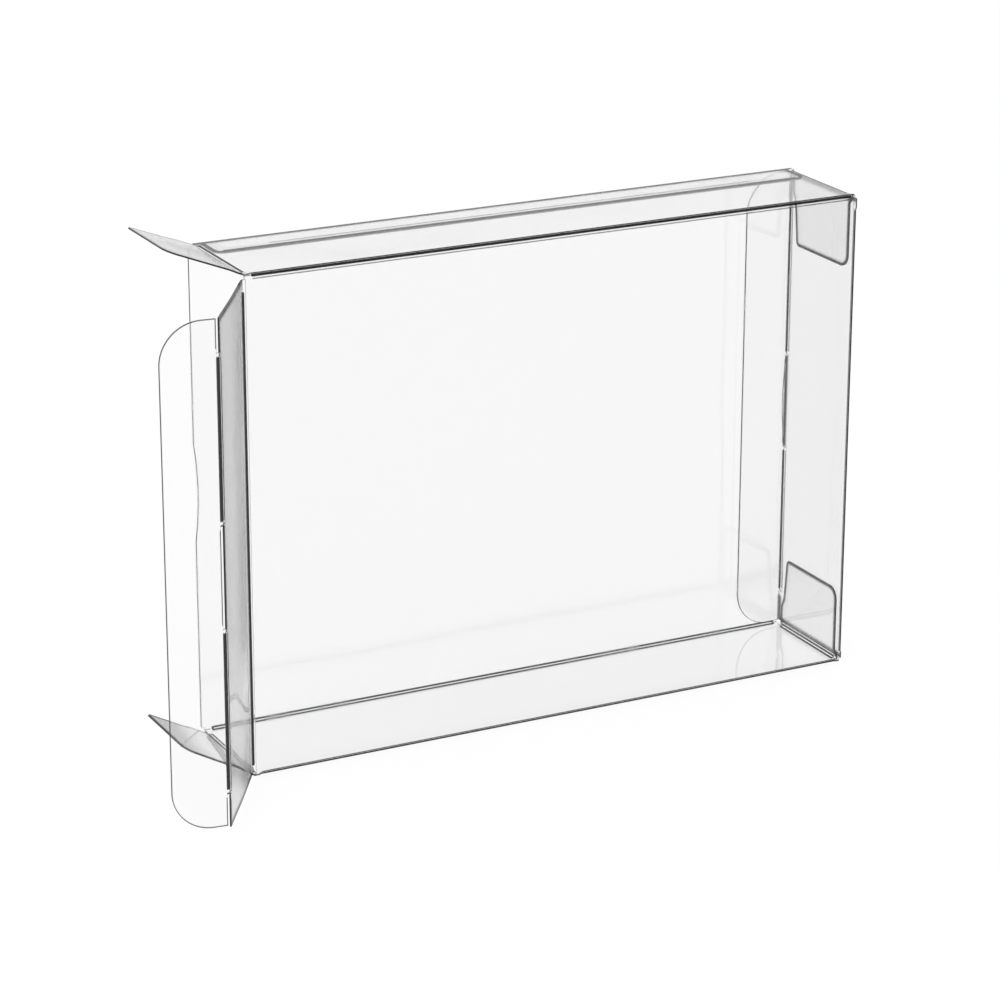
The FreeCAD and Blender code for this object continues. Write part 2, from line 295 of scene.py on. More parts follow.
def film_piece(name, patches, folds, joins, outer, marks=()):
    """Film made from patches. A patch is the width of the painted shade band at its cut edges and a grid of
    points on the middle of the film. joins are fold lines of pieces that go on from this one, outer is the
    way that the first face looks, and marks are painted shade lines besides those of the folds."""
    bm = bmesh.new()
    edge_shade_band = bm.verts.layers.float.new("edge_shade_band")
    for band, patch in patches:
        grid = [[bm.verts.new(Vector(p) * MM) for p in row] for row in patch]
        for vert in (vert for row in grid for vert in row):
            vert[edge_shade_band] = band
        for near, far in zip(grid, grid[1:]):
            for a, b, c, d in zip(near, near[1:], far[1:], far):
                bm.faces.new((a, b, c, d))
    bmesh.ops.remove_doubles(bm, verts=bm.verts[:], dist=WELD_DISTANCE)
    bmesh.ops.recalc_face_normals(bm, faces=bm.faces[:])
    bm.faces.ensure_lookup_table()
    if bm.faces[0].normal.dot(outer) < 0:
        bmesh.ops.reverse_faces(bm, faces=bm.faces[:])
    mesh = bpy.data.meshes.new(name)
    bm.to_mesh(mesh)
    bm.free()
    piece = bpy.data.objects.new(name, mesh)
    bpy.context.scene.collection.objects.link(piece)

    pressed_lines, wall_lines, score_lines = [], [*marks], []
    for fold in folds:
        pressed = fold.line(0.0, True)
        pressed_lines.append(pressed)
        wall_lines += [fold.line(u, True) for u in fold.walls]
        across = [fold.line(u, True) for u in spread(min(fold.walls), max(fold.walls), WALL_END_STEP)]
        for end in (0, 1):
            wall_lines += [(a[end], b[end]) for a, b in zip(across, across[1:])]
        score_lines += [fold.line(u, True) for u in fold.scores]
        score_lines += list(zip(fold.line(0.0, False), pressed))
    lines = {
        "Crease lines": line_object("crease_lines", pressed_lines),
        "Wall lines": line_object("wall_lines", wall_lines),
        "Score lines": line_object("score_lines", score_lines),
        "Fold lines": line_object("fold_lines", [fold.line(0.0, False) for fold in folds] + joins),
    }

    creased = piece.modifiers.new("creases", "NODES")
    creased.node_group = press_tree
    values = {
        **lines,
        "Fold reach": FOLD_REACH * MM,
        "Half width": CREASE_HALF_WIDTH * MM,
        "Floor half width": (CREASE_HALF_WIDTH - CREASE_WALL) * MM,
        "Depth": CREASE_DEPTH * MM,
        "Finish": film_finish,
    }
    for socket in press_tree.interface.items_tree:
        if socket.in_out == "INPUT" and socket.name in values:
            creased[socket.identifier] = values[socket.name]
    thick = piece.modifiers.new("film", "SOLIDIFY")
    thick.thickness = FILM * MM
    thick.offset = 0.0
    thick.use_even_offset = True
    thick.use_quality_normals = True

    ready = piece.evaluated_get(bpy.context.evaluated_depsgraph_get())
    solid = bpy.data.meshes.new_from_object(ready)
    piece.modifiers.clear()
    piece.data = solid
    solid.name = name
    solid.shade_smooth()
    solid.set_sharp_from_angle(angle=SHARP_ANGLE)
    for used in (mesh, *(helper.data for helper in lines.values())):
        bpy.data.meshes.remove(used)
    return piece


def spread(start, end, step):
    """Even steps from start to end, both included."""
    count = max(1, round(abs(end - start) / step))
    return [start + (end - start) * i / count for i in range(count + 1)]


def steps_through(*stops):
    """Values through (place, step) stops, each step used from its own stop to the next."""
    values = [stops[0][0]]
    for (start, step), (end, _) in zip(stops, stops[1:]):
        values += spread(start, end, step)[1:]
    return values


def ramp(value, start, end):
    """0 before start, 1 after end and straight between."""
    return min(1.0, max(0.0, (value - start) / (end - start)))


def rounded_off(distance, radius):
    """How far an edge draws back at this distance from a tip rounded by radius."""
    left = radius - min(max(distance, 0.0), radius)
    return radius - math.sqrt(radius ** 2 - left ** 2)


def fold_point(corner, back, ahead, bend, u):
    """Point at u on a folded section: along back before the corner, along ahead after it, rounded."""
    angle = back.angle(ahead)
    reach = bend * math.tan(angle / 2)
    if abs(u) >= reach - 1e-6:
        return corner + (ahead if u > 0 else back) * u
    inward = (ahead - back).normalized()
    centre = corner + inward * (bend / math.cos(angle / 2))
    swing = angle / 2 * u / reach
    across = (ahead + back).normalized()
    return centre + (across * math.sin(swing) - inward * math.cos(swing)) * bend


class Fold:
    """A crease from start to end of its ideal corner, along back before it and along ahead after it. Its
    channel stops short of the ends. walls and scores are the places across the film, from the middle of
    the bend, of the channel's walls and of thin lines beside it, which are drawn as painted shade."""

    def __init__(self, start, end, back, ahead, bend, stops, walls, scores=()):
        self.start, self.end, self.back, self.ahead, self.bend = start, end, back, ahead, bend
        self.stops, self.walls, self.scores = stops, walls, scores

    def line(self, u, stopped):
        """Line on the film along the crease, u across from its middle."""
        way = (self.end - self.start).normalized()
        stop, other_stop = self.stops if stopped else (0.0, 0.0)
        corners = self.start + way * stop, self.end - way * other_stop
        return tuple(fold_point(corner, self.back, self.ahead, self.bend, u) for corner in corners)


DUST_LENGTH, DUST_ROOT = 20.4, 1.0
DUST_NEAR_Y, DUST_FAR_Y = -15.6, 13.8
DUST_NEAR_STEP, DUST_NEAR_STEP_LENGTH, DUST_NEAR_RADIUS = 1.4, 1.8, 3.4
SHOULDER_LENGTH, SHOULDER_STEP, SHOULDER_STEP_LENGTH = 6.1, 1.2, 2.6
SHOULDER_END = SHOULDER_LENGTH + SHOULDER_STEP_LENGTH
DUST_FAR_TAPER, DUST_TIP_RADIUS = 1.2, 1.2
DUST_STEP, DUST_END_STEP, DUST_TIP_ROWS = 0.45, 1.2, 12
# Columns of a dust flap as shares of its width, closer at its edges and near the imprint of the glue strip.
DUST_SHARES = [
    0, 0.01, 0.03, 0.05, 0.07, 0.09, 0.12, *spread(0.2, 0.6, 0.1), *spread(0.688, 0.79, 0.005),
    0.8, 0.88, 0.91, 0.93, 0.95, 0.97, 0.99, 1,
]


def dust_sides(out):
    """Front and back edge of a dust flap at a distance out from its crease."""
    near = DUST_NEAR_Y + DUST_NEAR_STEP * ramp(out, DUST_ROOT, DUST_ROOT + DUST_NEAR_STEP_LENGTH)
    far = DUST_FAR_Y - SHOULDER_STEP * ramp(out, SHOULDER_LENGTH, SHOULDER_END)
    far -= DUST_FAR_TAPER * ramp(out, SHOULDER_END, DUST_LENGTH)
    left = DUST_LENGTH - out
    return near + rounded_off(left, DUST_NEAR_RADIUS), far - rounded_off(left, DUST_TIP_RADIUS)


def dust_patch(crease, back, ahead, bend, root):
    """Dust flap with its crease. back points from the narrow panel to the crease, ahead along the flap."""
    tip_turns = spread(0, math.pi / 2, math.pi / 2 / DUST_TIP_ROWS)
    tip = [DUST_LENGTH - DUST_NEAR_RADIUS * (1 - math.sin(turn)) for turn in tip_turns]
    outs = steps_through(
        (root, STRIP_STEP), (STRIP, RIM_STEP), (CREASE_RIM, DUST_STEP),
        (SHOULDER_LENGTH, DUST_STEP), (SHOULDER_END, DUST_END_STEP), (tip[0], None),
    )
    rows = []
    for out in [*outs, *tip[1:]]:
        near, far = dust_sides(out)
        middle = fold_point(crease, back, ahead, bend, out)
        rows.append([middle + Vector((0, near + (far - near) * share, 0)) for share in DUST_SHARES])
    return rows


UP, DOWN = Vector((0, 0, 1)), Vector((0, 0, -1))
FORWARD, BACKWARD = Vector((0, -1, 0)), Vector((0, 1, 0))
LEFT, RIGHT = Vector((-1, 0, 0)), Vector((1, 0, 0))
# The glue strip lies under the top panel with room for the adhesive, which runs between these edges.
GLUE_ROOM = 0.05
GLUE_Z = TOP_Z - FILM - GLUE_ROOM
GLUE_WIDTH, GLUE_END_INSET, GLUE_CORNER = 11.0, 1.9, 2.5
GLUE_STRIP_Y = BACK_Y - FOLD_BEND - GLUE_WIDTH
GLUE_STRIP_X = DUST_X - GLUE_END_INSET
GLUE_NEAR_Y, GLUE_FAR_Y = 8.6, 14.4
GLUE_LEFT_X, GLUE_RIGHT_X = -81.5, 83.0
SEAM_Y = 15.7
RECESS_WIDTH, RECESS_DEPTH = 26.0, 0.9
# First rows in from a cut edge. Columns are even as far as the fixed X, and finer from there to the ends.
NEAR_EDGE, OFF_EDGE = 0.05, 0.35
FIXED_X, FIXED_STEP, END_SHARE = 82.0, 14, 0.04


def recess(z):
    """Depth of the finger recess in the back panel's end edge at height z."""
    radius = (RECESS_WIDTH ** 2 / 4 + RECESS_DEPTH ** 2) / (2 * RECESS_DEPTH)
    off = min(abs(z - HEIGHT / 2), RECESS_WIDTH / 2)
    return math.sqrt(radius ** 2 - off ** 2) - radius + RECESS_DEPTH


def sleeve_rows():
    """(point on the section, half length of the sheet) round the tube from the top panel's seam edge."""
    dust = [DUST_NEAR_Y + (DUST_FAR_Y - DUST_NEAR_Y) * share for share in DUST_SHARES]
    behind_dust = DUST_FAR_Y + NEAR_EDGE
    across = spread(-STRIP, STRIP, STRIP_STEP)
    front_top, front_bottom = Vector((0, FRONT_Y, TOP_Z)), Vector((0, FRONT_Y, BOTTOM_Z))
    back_bottom, seam_fold = Vector((0, BACK_Y, BOTTOM_Z)), Vector((0, BACK_Y, GLUE_Z))
    front_end, back_end = END_X - STRIP - STRIP_GAP, LENGTH / 2
    low, high = END_CLEARANCE, HEIGHT - END_CLEARANCE
    middle, half_recess = HEIGHT / 2, RECESS_WIDTH / 2
    rows = [(Vector((0, y, TOP_Z)), DUST_X) for y in spread(SEAM_Y, behind_dust, 0.1)]
    rows += [(Vector((0, y, TOP_Z)), DUST_X - STRIP) for y in reversed(dust)]
    rows += [(fold_point(front_top, FORWARD, DOWN, FOLD_BEND, u), DUST_X) for u in across]
    heights = steps_through(
        (high - NEAR_EDGE, RIM_STEP), (high - OFF_EDGE, 12),
        (low + OFF_EDGE, RIM_STEP), (low + NEAR_EDGE, None),
    )
    rows += [(Vector((0, FRONT_Y, z)), front_end) for z in heights]
    rows += [(fold_point(front_bottom, DOWN, BACKWARD, FOLD_BEND, u), DUST_X) for u in across]
    rows += [(Vector((0, y, BOTTOM_Z)), DUST_X - STRIP) for y in dust]
    before_fold = BACK_Y - STRIP - 0.1
    rows += [(Vector((0, y, BOTTOM_Z)), DUST_X) for y in spread(behind_dust, before_fold, 0.2)]
    rows += [(fold_point(back_bottom, BACKWARD, UP, FOLD_BEND, u), DUST_X) for u in across]
    heights = steps_through(
        (low + NEAR_EDGE, RIM_STEP), (low + OFF_EDGE, 8),
        (middle - half_recess, 1.3), (middle + half_recess, 8), (high - 0.7, None),
    )
    rows += [(Vector((0, BACK_Y, z)), back_end - recess(z)) for z in heights]
    rows += [(fold_point(seam_fold, UP, FORWARD, FOLD_BEND, u), DUST_X) for u in across if u < FOLD_BEND]
    return rows


def strip_rows():
    """The same for the glue strip, on from the tube's last row."""
    turns = spread(0, math.pi / 2, math.pi / 20)
    corner_rows = [GLUE_STRIP_Y + GLUE_CORNER * (1 - math.sin(turn)) for turn in turns]
    ys = steps_through(
        (BACK_Y - FOLD_BEND - NEAR_EDGE, 0.6), (GLUE_NEAR_Y + 0.4, 0.1), (GLUE_NEAR_Y - 0.4, 0.35),
        (corner_rows[0], None),
    )
    rows = []
    for y in [*ys, *corner_rows[1:]]:
        half = GLUE_STRIP_X - rounded_off(y - GLUE_STRIP_Y, GLUE_CORNER)
        rows.append((Vector((0, y, GLUE_Z)), half))
    return rows


def sheet_grid(rows):
    """Grid of points from rows of a section, with fine columns towards both ends."""
    fixed = spread(-FIXED_X, FIXED_X, FIXED_STEP)
    patch = []
    for point, half in rows:
        ends = [FIXED_X + (half - FIXED_X) * share for share in spread(0, 1, END_SHARE)[1:]]
        columns = [*(-x for x in reversed(ends)), *fixed, *ends]
        patch.append([point + Vector((x, 0, 0)) for x in columns])
    return patch


# Painted shade lines at each crease, across the film from the middle of its bend: the walls, then thin
# scores.
FRONT_TOP_LINES = (-0.3, -0.05, 0.2), (1.05,)
FRONT_BOTTOM_LINES = (-0.2, 0.05, 0.3), (-0.5, -0.85)
BACK_BOTTOM_LINES = (-0.85, 0.55), ()
SEAM_FOLD_LINES = (-0.3, 0.0, 0.3), ()
DUST_LINES = (-0.72, 0.72), ()
TUCKED_DUST_LINES = (-0.95, -0.7), (0.5, 0.9)
HINGE_LINES = (-0.4, -0.15, 0.1), ()
# How far each crease's channel stops short of its two ends
LONG_STOPS, DUST_STOPS, HINGE_STOPS = (2.2, 1.3), (1.6, 1.0), (2.2, 3.4)
# Painted shade lines at the seam, by how far they lie in from the strip's long edge, its ends and the seam
# edge
STRIP_MARKS, STRIP_END_MARKS, SEAM_MARKS = (0.1, 0.45, 0.8, 1.15), (0.1, 0.45), (0.05, 0.4, 0.75)
STRIP_END_MARK_STOP = 1.0
GLUE_LINE_STOP = 2.0

long_folds = []
for y, z, back, ahead, lines in (
    (FRONT_Y, TOP_Z, FORWARD, DOWN, FRONT_TOP_LINES),
    (FRONT_Y, BOTTOM_Z, DOWN, BACKWARD, FRONT_BOTTOM_LINES),
    (BACK_Y, BOTTOM_Z, BACKWARD, UP, BACK_BOTTOM_LINES),
    (BACK_Y, GLUE_Z, UP, FORWARD, SEAM_FOLD_LINES),
):
    ends = Vector((-DUST_X, y, z)), Vector((DUST_X, y, z))
    long_folds.append(Fold(*ends, back, ahead, FOLD_BEND, LONG_STOPS, *lines))


def seam_marks():
    """Painted shade lines on the top panel along its seam edge and along the edge of the strip below it,
    and one on the strip along the glue."""
    lines = [(
        Vector((GLUE_LEFT_X + GLUE_LINE_STOP, GLUE_NEAR_Y, GLUE_Z)),
        Vector((GLUE_RIGHT_X - GLUE_LINE_STOP, GLUE_NEAR_Y, GLUE_Z)),
    )]
    corner_x, corner_y = GLUE_STRIP_X - GLUE_CORNER, GLUE_STRIP_Y + GLUE_CORNER
    for inset in STRIP_MARKS:
        lines.append(tuple(Vector((side * corner_x, GLUE_STRIP_Y + inset, TOP_Z)) for side in (-1, 1)))
    for inset in SEAM_MARKS:
        lines.append(tuple(Vector((side * (DUST_X - inset), SEAM_Y - inset, TOP_Z)) for side in (-1, 1)))
    for inset in STRIP_END_MARKS:
        radius = GLUE_CORNER - inset
        for side in (-1, 1):
            path = []
            for turn in spread(0, math.pi / 2, 0.2):
                x, y = corner_x + radius * math.sin(turn), corner_y - radius * math.cos(turn)
                path.append(Vector((side * x, y, TOP_Z)))
            path.append(Vector((side * (GLUE_STRIP_X - inset), SEAM_Y - STRIP_END_MARK_STOP, TOP_Z)))
            lines += zip(path, path[1:])
    return lines


def dust_fold(x, z, back, ahead, bend, lines=DUST_LINES):
    """Crease of a dust flap, from the front of the box to the back."""
    ends = Vector((x, DUST_NEAR_Y, z)), Vector((x, DUST_FAR_Y, z))
    return Fold(*ends, back, ahead, bend, DUST_STOPS, *lines)


def end_fold(x, back, ahead, bend):
    """Crease of an end flap, from the bottom up."""
    ends = Vector((x, FRONT_Y, END_CLEARANCE)), Vector((x, FRONT_Y, HEIGHT - END_CLEARANCE))
    return Fold(*ends, back, ahead, bend, HINGE_STOPS, *HINGE_LINES)


# Width of the painted shade band at cut edges, in times that of the cut-edge painted shade above
PANEL_EDGE, DUST_EDGE, STRIP_EDGE = 1.0, 6.5, 8.0
tube_rows = sleeve_rows()
sleeve = film_piece(
    "sleeve_film",
    [
        (PANEL_EDGE, sheet_grid(tube_rows)),
        (STRIP_EDGE, sheet_grid([tube_rows[-1], *strip_rows()])),
        (DUST_EDGE, dust_patch(Vector((DUST_X, 0, TOP_Z)), RIGHT, DOWN, FOLD_BEND, -STRIP)),
        (DUST_EDGE, dust_patch(Vector((DUST_X, 0, BOTTOM_Z)), RIGHT, UP, FOLD_BEND, -STRIP)),
    ],
    [
        *long_folds,
        dust_fold(DUST_X, TOP_Z, RIGHT, DOWN, FOLD_BEND, TUCKED_DUST_LINES),
        dust_fold(DUST_X, BOTTOM_Z, RIGHT, UP, FOLD_BEND),
    ],
    [
        dust_fold(-DUST_X, TOP_Z, LEFT, LEFT, FOLD_BEND).line(0.0, False),
        dust_fold(-DUST_X, BOTTOM_Z, LEFT, LEFT, FOLD_BEND).line(0.0, False),
        end_fold(-END_X, LEFT, LEFT, FOLD_BEND).line(0.0, False),
        end_fold(END_X, RIGHT, RIGHT, FOLD_BEND).line(0.0, False),
    ],
    UP,
    seam_marks(),
)
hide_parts("sleeve")
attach(sleeve, "sleeve")


# Seam adhesive
# Bead of clear glue that was pressed out flat between the top panel and the glue strip.
# It starts and ends short of the strip, in ragged blobs, and is slightly milky.
GLUE_THICK, GLUE_LIFT, GLUE_STEP = 0.03, 0.01, 0.6
GLUE_END_RADIUS = (GLUE_FAR_Y - GLUE_NEAR_Y) / 2 - 0.6
NEAR_WANDER, FAR_WANDER, FAR_SHIFT = 0.35, 0.3, 40


def ragged(x):
    """Wandering of the glue's edges along the seam, between about -1 and 1."""
    return 0.5 * math.sin(0.21 * x) + 0.3 * math.sin(0.53 * x + 1.3) + 0.2 * math.sin(1.37 * x + 0.4)


def glue_material():
    """Milky hot-melt glue with finer and thicker patches."""
    mat = bpy.data.materials.new("seam_glue")
    mat.use_nodes = True
    nodes, link = mat.node_tree.nodes, mat.node_tree.links.new
    glue = nodes["Principled BSDF"]
    glue.inputs["Roughness"].default_value = 0.45
    glue.inputs["Alpha"].default_value = 0.15
    place = nodes.new("ShaderNodeTexCoord")
    patches = nodes.new("ShaderNodeTexNoise")
    patches.inputs["Scale"].default_value = 480
    patches.inputs["Detail"].default_value = 4
    link(place.outputs["Object"], patches.inputs["Vector"])
    milk = nodes.new("ShaderNodeValToRGB")
    milk.color_ramp.elements[0].position = 0.35
    milk.color_ramp.elements[0].color = (0.8, 0.8, 0.8, 1)
    milk.color_ramp.elements[1].position = 0.62
    milk.color_ramp.elements[1].color = (0.97, 0.97, 0.97, 1)
    link(patches.outputs["Fac"], milk.inputs["Fac"])
    link(milk.outputs["Color"], glue.inputs["Base Color"])
    return mat


def glue_bead():
    """Flat bead with wandering sides and rounded ragged ends."""
    bm = bmesh.new()
    low_rows, high_rows = [], []
    base = GLUE_Z + FILM / 2 + GLUE_LIFT
    for x in spread(GLUE_LEFT_X, GLUE_RIGHT_X, GLUE_STEP):
        draw_in = rounded_off(min(x - GLUE_LEFT_X, GLUE_RIGHT_X - x), GLUE_END_RADIUS)
        near = GLUE_NEAR_Y + NEAR_WANDER * ragged(x) + draw_in
        far = GLUE_FAR_Y + FAR_WANDER * ragged(x + FAR_SHIFT) - draw_in
        ys = [near + (far - near) * share for share in spread(0, 1, 0.25)]
        for rows, z in ((low_rows, base), (high_rows, base + GLUE_THICK)):
            rows.append([bm.verts.new(Vector((x, y, z)) * MM) for y in ys])
    for rows in (low_rows, high_rows):
        for left, right in zip(rows, rows[1:]):
            for a, b, c, d in zip(left, left[1:], right[1:], right):
                bm.faces.new((a, b, c, d))
    rims = [
        ([row[0] for row in low_rows], [row[0] for row in high_rows]),
        ([row[-1] for row in low_rows], [row[-1] for row in high_rows]),
        (low_rows[0], high_rows[0]),
        (low_rows[-1], high_rows[-1]),
    ]
    for lower, upper in rims:
        for a, b, c, d in zip(lower, lower[1:], upper[1:], upper):
            bm.faces.new((a, b, c, d))
    bmesh.ops.recalc_face_normals(bm, faces=bm.faces[:])
    mesh = bpy.data.meshes.new("seam_glue")
    bm.to_mesh(mesh)
    bm.free()
    mesh.materials.append(glue_material())
    bead = bpy.data.objects.new("seam_glue", mesh)
    bpy.context.scene.collection.objects.link(bead)
    return bead


seam_glue = glue_bead()
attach(seam_glue, "sleeve")


# Open end: end flap
# Panel of the same sheet that closes the mouth, creased off the front panel and swung well out to the front.
# Its far edge carries three short lips at the slits of the tuck tab's crease.
END_FLAP_WIDTH = 32.4
LIP_HEIGHT = 0.6
END_SLIT, MIDDLE_SLIT = 8.5, 26.0
OPEN_FLAP_ANGLE = math.radians(147.4)
TAB_CREASES = [
    (END_CLEARANCE + END_SLIT, HEIGHT / 2 - MIDDLE_SLIT / 2),
    (HEIGHT / 2 + MIDDLE_SLIT / 2, HEIGHT - END_CLEARANCE - END_SLIT),
]
TAB_LINES, TAB_STOPS = ((0.15, 0.35, 0.55), (-0.85,)), (1.4, 1.4)
# Width of the painted shade band at the end flaps' cut edges, in times that of the cut-edge painted shade
FLAP_EDGE = 9.0
SMALL_BEND = 0.5
# Rows close to the flap's two ends and to each side of a slit's end, and the flat before the far edge
END_ROWS, END_STEP, SLIT_SIDE = 5.0, 0.35, 0.06
FLAP_FLAT = 30.0
# The flap bows outwards from the set of the film, and by this share of that at its two ends.
FLAP_BOW, END_BOW_SHARE = 0.4, 0.3


def end_flap_patch(crease, back, ahead, outer, bow):
    """End flap with its hinge crease, one row for each height, bowed outwards."""
    low, high = END_CLEARANCE, HEIGHT - END_CLEARANCE
    slit_ends = [z for pair in TAB_CREASES for z in pair]
    heights = steps_through((low, END_STEP), (low + END_ROWS, 2), (slit_ends[0] - SLIT_SIDE, None))
    for start, end in zip(slit_ends, [*slit_ends[1:], high - END_ROWS]):
        heights += spread(start + SLIT_SIDE, end - SLIT_SIDE, 3)
    heights += spread(high - END_ROWS, high, END_STEP)
    flat = steps_through((-STRIP, STRIP_STEP), (STRIP, RIM_STEP), (CREASE_RIM, 1.5), (FLAP_FLAT, None))
    patch = []
    for z in heights:
        creased = any(start < z < end for start, end in TAB_CREASES)
        edge = END_FLAP_WIDTH - STRIP - STRIP_GAP if creased else END_FLAP_WIDTH + LIP_HEIGHT
        outs = [*flat, *(FLAP_FLAT + (edge - FLAP_FLAT) * share for share in (0.25, 0.5, 0.75, 1))]
        here = bow * (END_BOW_SHARE + (1 - END_BOW_SHARE) * math.sin(math.pi * z / HEIGHT))
        row = []
        for u in outs:
            bulge = here * math.sin(math.pi * ramp(u, STRIP, END_FLAP_WIDTH - STRIP)) ** 2
            row.append(fold_point(crease, back, ahead, SMALL_BEND, u) + outer * bulge + Vector((0, 0, z)))
        patch.append(row)
    return patch


def flap_way(side, opening):
    """Way that an end flap points, swung by opening from shut. side is -1 at the open end or 1."""
    return Vector((side * math.sin(opening), math.cos(opening), 0))


def outside(side, way):
    """Outer side of an end flap or tab that points that way."""
    return Vector((side * way.y, -side * way.x, 0))


def tab_folds(crease, back, ahead):
    """Stretches of a tab's crease between its slits."""
    stretches = [(crease + UP * start, crease + UP * end) for start, end in TAB_CREASES]
    return [Fold(*ends, back, ahead, SMALL_BEND, TAB_STOPS, *TAB_LINES) for ends in stretches]


open_crease = Vector((-END_X, FRONT_Y, 0))
open_way = flap_way(-1, OPEN_FLAP_ANGLE)
open_tab_crease = open_crease + open_way * END_FLAP_WIDTH
open_flap = film_piece(
    "open_end_flap_film",
    [(FLAP_EDGE, end_flap_patch(open_crease, LEFT, open_way, outside(-1, open_way), FLAP_BOW))],
    [end_fold(-END_X, LEFT, open_way, SMALL_BEND)],
    [fold.line(0.0, False) for fold in tab_folds(open_tab_crease, open_way, open_way)],
    FORWARD,
)
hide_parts("open_end_flap")
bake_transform(open_flap)


# Open end: tuck tab
# Round-cornered tongue of the same sheet, creased off the end flap and slit free at its ends and middle.
# It slides in along the inside of the back panel when the end is shut.
TAB_LENGTH, TAB_CORNER, TAB_INSET, TAB_ROOT = 14.8, 10.5, 0.2, 0.8
OPEN_TAB_ANGLE = math.radians(116.1)
# Width of the painted shade band at the open tuck tab's cut edges, in times that of the cut-edge painted
# shade
TAB_EDGE = 1.6
# Rows near the ends of the slits, and (start, end, step) of those between. Columns crowd to crease and tip.
TAB_CREASE_INSET, SLIT_STEP, SLIT_ROWS = 0.2, 0.3, 8
TAB_SPANS = (14, 50, 3), (56, 76, 4), (82, 118, 3)
TAB_BEND_END, TAB_BEND_COLUMNS, TAB_FLAT_COLUMNS, TAB_TIP = 1.2, 27, 8, 0.5


def tab_patch(crease, back, ahead):
    """Tuck tab with its crease, one row for each height."""
    low, high = END_CLEARANCE + TAB_INSET, HEIGHT - END_CLEARANCE - TAB_INSET
    creases = [(start + TAB_CREASE_INSET, end - TAB_CREASE_INSET) for start, end in TAB_CREASES]
    corner = [TAB_CORNER * (1 - math.cos(turn)) for turn in spread(0, math.pi / 2, math.pi / 32)]
    near_slit = [-SLIT_SIDE, SLIT_SIDE, *(i * SLIT_STEP for i in range(-SLIT_ROWS, SLIT_ROWS + 1) if i)]
    heights = {*(low + c for c in corner), *(high - c for c in corner)}
    heights.update(z + off for pair in creases for z in pair for off in near_slit)
    heights.update(z for span in TAB_SPANS for z in spread(*span))
    patch = []
    for z in sorted(heights):
        root = -STRIP if any(start < z < end for start, end in creases) else TAB_ROOT
        tip = TAB_LENGTH - rounded_off(min(z - low, high - z), TAB_CORNER)
        flat_end = tip - TAB_TIP
        outs = spread(root, TAB_BEND_END, (TAB_BEND_END - root) / TAB_BEND_COLUMNS)
        outs += spread(TAB_BEND_END, flat_end, (flat_end - TAB_BEND_END) / TAB_FLAT_COLUMNS)[1:]
        outs += [tip - TAB_TIP / 2, tip]
        patch.append([fold_point(crease, back, ahead, SMALL_BEND, u) + Vector((0, 0, z)) for u in outs])
    return patch


def tab_way(side, opening, fold):
    """Way that a tuck tab points, with its end flap swung by opening and the fold between them."""
    turned = opening + fold - math.pi / 2
    return Vector((-side * math.cos(turned), math.sin(turned), 0))


open_tab_way = tab_way(-1, OPEN_FLAP_ANGLE, OPEN_TAB_ANGLE)
open_tab = film_piece(
    "open_end_tuck_tab_film",
    [(TAB_EDGE, tab_patch(open_tab_crease, open_way, open_tab_way))],
    tab_folds(open_tab_crease, open_way, open_tab_way),
    [],
    outside(-1, open_tab_way),
)
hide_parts("open_end_tuck_tab")
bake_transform(open_tab)


# Open end: two dust flaps
# Short side flaps of the same sheet, creased off the top and bottom panels and standing open.
# A shoulder on the back edge catches the tab's end slits when the end is shut.
TOP_DUST_ANGLE, BOTTOM_DUST_ANGLE = math.radians(112.0), math.radians(61.0)

for place, z, inward, swing in (
    ("top", TOP_Z, DOWN, TOP_DUST_ANGLE), ("bottom", BOTTOM_Z, UP, BOTTOM_DUST_ANGLE),
):
    dust_way = inward * math.cos(swing) + LEFT * math.sin(swing)
    dust_crease = Vector((-DUST_X, 0, z))
    dust_flap = film_piece(
        f"open_end_dust_flap_{place}_film",
        [(DUST_EDGE, dust_patch(dust_crease, LEFT, dust_way, SMALL_BEND, STRIP_GAP - STRIP))],
        [dust_fold(-DUST_X, z, LEFT, dust_way, SMALL_BEND)],
        [],
        -inward,
    )
    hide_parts(f"open_end_dust_flap_{place}")
    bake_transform(dust_flap)


# Closed end: end flap and tuck tab
# The same two flaps at the right end, folded square across it with the tab tucked inside the back panel.
# They stay shut by the spring of the film alone.
CLOSED_TAB_ANGLE = math.radians(86.0)
CLOSED_FLAP_BOW = 0.15
closed_crease = Vector((END_X, FRONT_Y, 0))
closed_way = flap_way(1, 0.0)
closed_outer = outside(1, closed_way)
closed_tab_crease = closed_crease + closed_way * END_FLAP_WIDTH
closed_flap = film_piece(
    "closed_end_flap_film",
    [(FLAP_EDGE, end_flap_patch(closed_crease, RIGHT, closed_way, closed_outer, CLOSED_FLAP_BOW))],
    [end_fold(END_X, RIGHT, closed_way, SMALL_BEND)],
    [fold.line(0.0, False) for fold in tab_folds(closed_tab_crease, closed_way, closed_way)],
    FORWARD,
)
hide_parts("closed_end_flap")
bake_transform(closed_flap)
closed_tab_way = tab_way(1, 0.0, CLOSED_TAB_ANGLE)
closed_tab = film_piece(
    "closed_end_tuck_tab_film",
    [(PANEL_EDGE, tab_patch(closed_tab_crease, closed_way, closed_tab_way))],
    tab_folds(closed_tab_crease, closed_way, closed_tab_way),
    [],
    outside(1, closed_tab_way),
)
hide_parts("closed_end_tuck_tab")
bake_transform(closed_tab)


# Studio
# White floor that runs out of the picture, large soft lamps and a pale room.
# The film mirrors a dimmer room than what shows straight through it, and the floor behind it darker still.
FLOOR_HALF = 12.0
FLOOR_Z = -0.0003
FLOOR_GLOW = 0.87
# Level of the mirrored room and of its ceiling, with the rise of the rays between which they change
MIRRORED_ROOM, MIRRORED_CEILING = 0.86, 0.25
CEILING_START, CEILING_FULL = 0.42, 0.6
